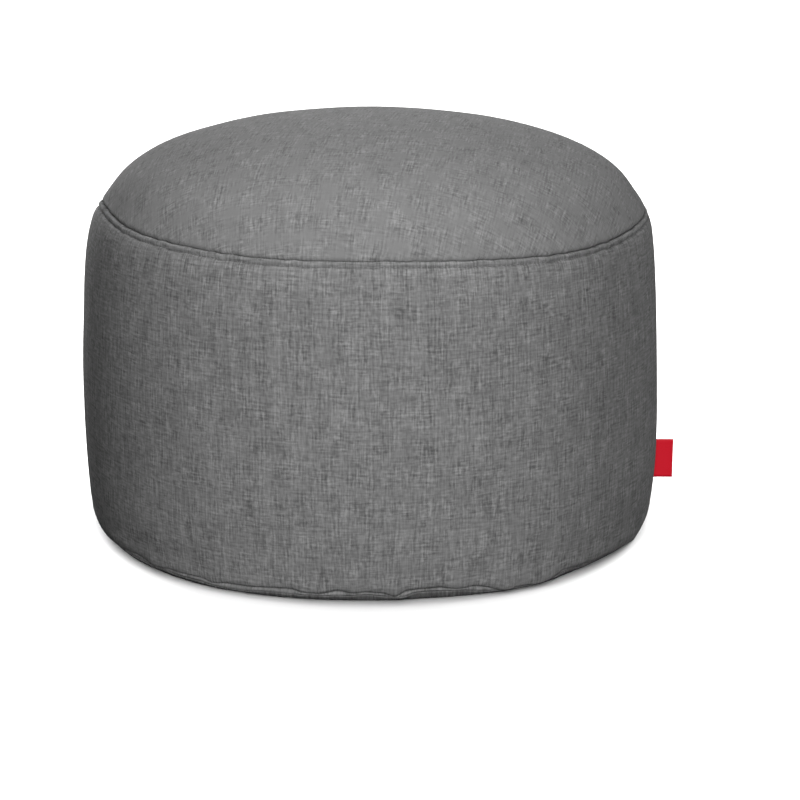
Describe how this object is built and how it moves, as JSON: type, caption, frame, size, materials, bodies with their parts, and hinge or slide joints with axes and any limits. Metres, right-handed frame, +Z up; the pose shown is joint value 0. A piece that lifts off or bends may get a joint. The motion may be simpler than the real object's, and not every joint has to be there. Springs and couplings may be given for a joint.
{
  "type": "bean bag footstool",
  "caption": "Round bean-filled fabric footstool with a crowned top panel, topstitched seams and a small side tab.",
  "frame": {"origin": "centre of the flat base, on the floor that the footstool stands on", "axes": "+Z up through the crown of the top panel; -Y is the front of the picture; +X points out of the side that carries the woven tab"},
  "size_m": [0.5167, 0.5, 0.3494],
  "materials": {
    "top_cloth": "matt melange grey plain weave",
    "side_cloth": "matt melange grey plain weave",
    "base_cloth": "matt grey plain weave",
    "tab_ribbon": "fine red woven ribbon"
  },
  "bodies": {
    "root": {"top_panel": "top_cloth", "filled_side_wall": "side_cloth", "base_panel": "base_cloth", "label_tab": "tab_ribbon"}
  },
  "joints": []
}
